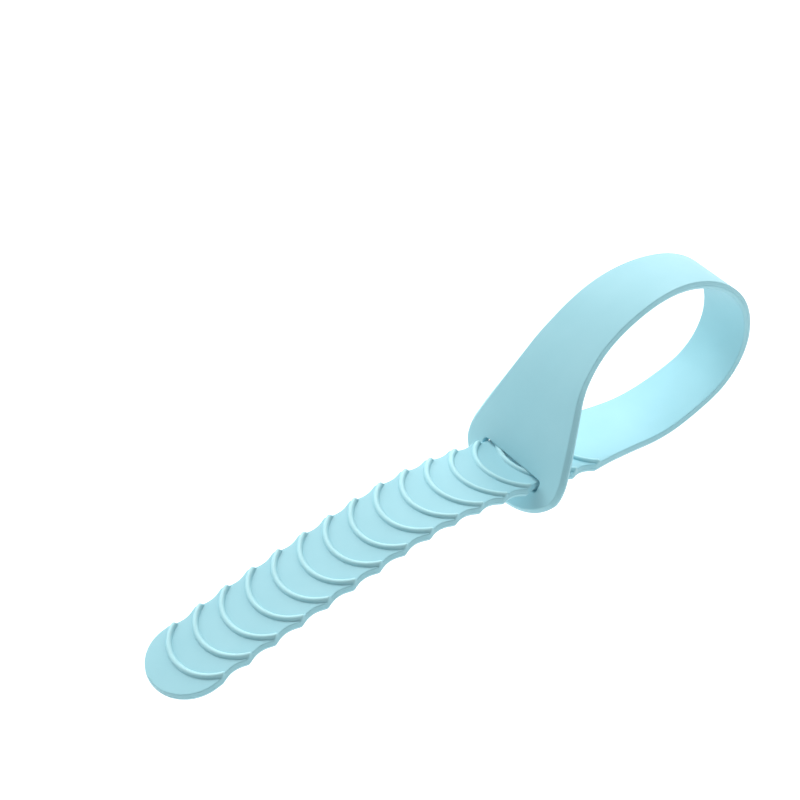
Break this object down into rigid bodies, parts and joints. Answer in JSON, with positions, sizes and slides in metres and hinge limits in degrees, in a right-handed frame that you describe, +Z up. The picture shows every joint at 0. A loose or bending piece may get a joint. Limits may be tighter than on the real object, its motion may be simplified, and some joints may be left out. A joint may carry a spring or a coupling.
{
  "type": "adjustable slotted silicone strap",
  "caption": "Moulded silicone strap: a ribbed tongue runs through a slot in its own wide head, closing a smooth band into an adjustable loop.",
  "frame": {"origin": "centre of the bounding box in X and Y, at the lowest point the strap rests on", "axes": "+X along the strap from the tongue tip towards the loop, +Y across the strap's width, +Z up"},
  "size_m": [0.2324, 0.0444, 0.0617],
  "materials": {
    "blue_silicone": "matte"
  },
  "bodies": {
    "head": {"slotted_head": "blue_silicone", "neck": "blue_silicone"},
    "slide_stretch": {"slot_stretch": "blue_silicone", "inner_stretch": "blue_silicone"},
    "band_01": {"band_link_01": "blue_silicone"},
    "band_02": {"band_link_02": "blue_silicone"},
    "band_03": {"band_link_03": "blue_silicone"},
    "band_04": {"band_link_04": "blue_silicone"},
    "band_05": {"band_link_05": "blue_silicone"},
    "band_06": {"band_link_06": "blue_silicone"},
    "band_07": {"band_link_07": "blue_silicone"},
    "band_08": {"band_link_08": "blue_silicone"},
    "band_09": {"band_link_09": "blue_silicone"},
    "band_10": {"band_link_10": "blue_silicone"},
    "band_11": {"band_link_11": "blue_silicone"},
    "band_12": {"band_link_12": "blue_silicone"},
    "band_13": {"band_link_13": "blue_silicone"},
    "band_14": {"band_link_14": "blue_silicone"},
    "band_15": {"band_link_15": "blue_silicone"},
    "band_16": {"band_link_16": "blue_silicone"},
    "tongue_12": {"tongue_link_12": "blue_silicone"},
    "tongue_11": {"tongue_link_11": "blue_silicone"},
    "tongue_10": {"tongue_link_10": "blue_silicone"},
    "tongue_09": {"tongue_link_09": "blue_silicone"},
    "tongue_08": {"tongue_link_08": "blue_silicone"},
    "tongue_07": {"tongue_link_07": "blue_silicone"},
    "tongue_06": {"tongue_link_06": "blue_silicone"},
    "tongue_05": {"tongue_link_05": "blue_silicone"},
    "tongue_04": {"tongue_link_04": "blue_silicone"},
    "tongue_03": {"tongue_link_03": "blue_silicone"},
    "tongue_02": {"tongue_link_02": "blue_silicone"},
    "tongue_01": {"tongue_tip": "blue_silicone"}
  },
  "joints": [
    {"name": "tongue_slide", "type": "slide", "parent": "head", "child": "slide_stretch", "axis": [-0.9792, 0, 0.2028], "range_m": [-0.0099, 0.0198]},
    {"name": "band_bend_01", "type": "hinge", "parent": "slide_stretch", "child": "band_01", "pos_m": [0.05341, 0, 0.00538], "axis": [0, -1, 0], "range_deg": [-8, 15]},
    {"name": "band_bend_02", "type": "hinge", "parent": "band_01", "child": "band_02", "pos_m": [0.06403, 0, 0.00337], "axis": [0, -1, 0], "range_deg": [-7, 12]},
    {"name": "band_bend_03", "type": "hinge", "parent": "band_02", "child": "band_03", "pos_m": [0.07471, 0, 0.00169], "axis": [0, -1, 0], "range_deg": [-14, 7]},
    {"name": "band_bend_04", "type": "hinge", "parent": "band_03", "child": "band_04", "pos_m": [0.0855, 0, 0.00194], "axis": [0, -1, 0], "range_deg": [-15, 8]},
    {"name": "band_bend_05", "type": "hinge", "parent": "band_04", "child": "band_05", "pos_m": [0.09607, 0, 0.00418], "axis": [0, -1, 0], "range_deg": [-13, 7]},
    {"name": "band_bend_06", "type": "hinge", "parent": "band_05", "child": "band_06", "pos_m": [0.10601, 0, 0.00827], "axis": [0, -1, 0], "range_deg": [-8, 5]},
    {"name": "band_bend_07", "type": "hinge", "parent": "band_06", "child": "band_07", "pos_m": [0.11293, 0, 0.01643], "axis": [0, -1, 0], "range_deg": [-3, 6]},
    {"name": "band_bend_08", "type": "hinge", "parent": "band_07", "child": "band_08", "pos_m": [0.11494, 0, 0.02693], "axis": [0, -1, 0], "range_deg": [-2, 4]},
    {"name": "band_bend_09", "type": "hinge", "parent": "band_08", "child": "band_09", "pos_m": [0.11247, 0, 0.0374], "axis": [0, -1, 0], "range_deg": [-2, 3]},
    {"name": "band_bend_10", "type": "hinge", "parent": "band_09", "child": "band_10", "pos_m": [0.10642, 0, 0.0463], "axis": [0, -1, 0], "range_deg": [-2, 3]},
    {"name": "band_bend_11", "type": "hinge", "parent": "band_10", "child": "band_11", "pos_m": [0.09817, 0, 0.05325], "axis": [0, -1, 0], "range_deg": [-2, 4]},
    {"name": "band_bend_12", "type": "hinge", "parent": "band_11", "child": "band_12", "pos_m": [0.08849, 0, 0.05799], "axis": [0, -1, 0], "range_deg": [-4, 8]},
    {"name": "band_bend_13", "type": "hinge", "parent": "band_12", "child": "band_13", "pos_m": [0.07794, 0, 0.06025], "axis": [0, -1, 0], "range_deg": [-6, 11]},
    {"name": "band_bend_14", "type": "hinge", "parent": "band_13", "child": "band_14", "pos_m": [0.06716, 0, 0.05988], "axis": [0, -1, 0], "range_deg": [-6, 12]},
    {"name": "band_bend_15", "type": "hinge", "parent": "band_14", "child": "band_15", "pos_m": [0.05679, 0, 0.05692], "axis": [0, -1, 0], "range_deg": [-5, 9]},
    {"name": "band_bend_16", "type": "hinge", "parent": "band_15", "child": "band_16", "pos_m": [0.04745, 0, 0.05154], "axis": [0, -1, 0], "range_deg": [-14, 7]},
    {"name": "tongue_curl", "type": "hinge", "parent": "slide_stretch", "child": "tongue_12", "pos_m": [0.00939, 0, 0.01448], "axis": [0, 1, 0], "range_deg": [-6, 6], "stiffness_Nm_per_rad": 0.4},
    {"name": "tongue_fold_11", "type": "hinge", "parent": "tongue_12", "child": "tongue_11", "pos_m": [-0.00035, 0, 0.01623], "axis": [0, 1, 0], "range_deg": [-6, 6], "stiffness_Nm_per_rad": 0.4},
    {"name": "tongue_fold_10", "type": "hinge", "parent": "tongue_11", "child": "tongue_10", "pos_m": [-0.0102, 0, 0.01718], "axis": [0, 1, 0], "range_deg": [-6, 6], "stiffness_Nm_per_rad": 0.4},
    {"name": "tongue_fold_09", "type": "hinge", "parent": "tongue_10", "child": "tongue_09", "pos_m": [-0.0201, 0, 0.01729], "axis": [0, 1, 0], "range_deg": [-6, 6], "stiffness_Nm_per_rad": 0.4},
    {"name": "tongue_fold_08", "type": "hinge", "parent": "tongue_09", "child": "tongue_08", "pos_m": [-0.02997, 0, 0.01659], "axis": [0, 1, 0], "range_deg": [-6, 6], "stiffness_Nm_per_rad": 0.4},
    {"name": "tongue_fold_07", "type": "hinge", "parent": "tongue_08", "child": "tongue_07", "pos_m": [-0.03978, 0, 0.01526], "axis": [0, 1, 0], "range_deg": [-6, 6], "stiffness_Nm_per_rad": 0.4},
    {"name": "tongue_fold_06", "type": "hinge", "parent": "tongue_07", "child": "tongue_06", "pos_m": [-0.04958, 0, 0.01384], "axis": [0, 1, 0], "range_deg": [-6, 6], "stiffness_Nm_per_rad": 0.4},
    {"name": "tongue_fold_05", "type": "hinge", "parent": "tongue_06", "child": "tongue_05", "pos_m": [-0.05936, 0, 0.01233], "axis": [0, 1, 0], "range_deg": [-6, 6], "stiffness_Nm_per_rad": 0.4},
    {"name": "tongue_fold_04", "type": "hinge", "parent": "tongue_05", "child": "tongue_04", "pos_m": [-0.06914, 0, 0.01075], "axis": [0, 1, 0], "range_deg": [-6, 6], "stiffness_Nm_per_rad": 0.4},
    {"name": "tongue_fold_03", "type": "hinge", "parent": "tongue_04", "child": "tongue_03", "pos_m": [-0.0789, 0, 0.00908], "axis": [0, 1, 0], "range_deg": [-6, 6], "stiffness_Nm_per_rad": 0.4},
    {"name": "tongue_fold_02", "type": "hinge", "parent": "tongue_03", "child": "tongue_02", "pos_m": [-0.08863, 0, 0.00729], "axis": [0, 1, 0], "range_deg": [-6, 6], "stiffness_Nm_per_rad": 0.4},
    {"name": "tongue_fold_01", "type": "hinge", "parent": "tongue_02", "child": "tongue_01", "pos_m": [-0.09834, 0, 0.00534], "axis": [0, 1, 0], "range_deg": [-6, 6], "stiffness_Nm_per_rad": 0.4}
  ],
  "couplings": [
    {"joint": "band_bend_01", "follows": "tongue_slide", "rad_per_m": 12.379},
    {"joint": "band_bend_02", "follows": "tongue_slide", "rad_per_m": 10.068},
    {"joint": "band_bend_03", "follows": "tongue_slide", "rad_per_m": -11.282},
    {"joint": "band_bend_04", "follows": "tongue_slide", "rad_per_m": -11.926},
    {"joint": "band_bend_05", "follows": "tongue_slide", "rad_per_m": -10.785},
    {"joint": "band_bend_06", "follows": "tongue_slide", "rad_per_m": -6.4091},
    {"joint": "band_bend_07", "follows": "tongue_slide", "rad_per_m": 4.368},
    {"joint": "band_bend_08", "follows": "tongue_slide", "rad_per_m": 2.3084},
    {"joint": "band_bend_09", "follows": "tongue_slide", "rad_per_m": 1.7695},
    {"joint": "band_bend_10", "follows": "tongue_slide", "rad_per_m": 1.572},
    {"joint": "band_bend_11", "follows": "tongue_slide", "rad_per_m": 2.2347},
    {"joint": "band_bend_12", "follows": "tongue_slide", "rad_per_m": 5.7418},
    {"joint": "band_bend_13", "follows": "tongue_slide", "rad_per_m": 8.5522},
    {"joint": "band_bend_14", "follows": "tongue_slide", "rad_per_m": 9.5017},
    {"joint": "band_bend_15", "follows": "tongue_slide", "rad_per_m": 7.3391},
    {"joint": "band_bend_16", "follows": "tongue_slide", "rad_per_m": -11.399},
    {"joint": "tongue_fold_11", "follows": "tongue_curl", "ratio": 1},
    {"joint": "tongue_fold_10", "follows": "tongue_curl", "ratio": 1},
    {"joint": "tongue_fold_09", "follows": "tongue_curl", "ratio": 1},
    {"joint": "tongue_fold_08", "follows": "tongue_curl", "ratio": 1},
    {"joint": "tongue_fold_07", "follows": "tongue_curl", "ratio": 1},
    {"joint": "tongue_fold_06", "follows": "tongue_curl", "ratio": 1},
    {"joint": "tongue_fold_05", "follows": "tongue_curl", "ratio": 1},
    {"joint": "tongue_fold_04", "follows": "tongue_curl", "ratio": 1},
    {"joint": "tongue_fold_03", "follows": "tongue_curl", "ratio": 1},
    {"joint": "tongue_fold_02", "follows": "tongue_curl", "ratio": 1},
    {"joint": "tongue_fold_01", "follows": "tongue_curl", "ratio": 1}
  ]
}
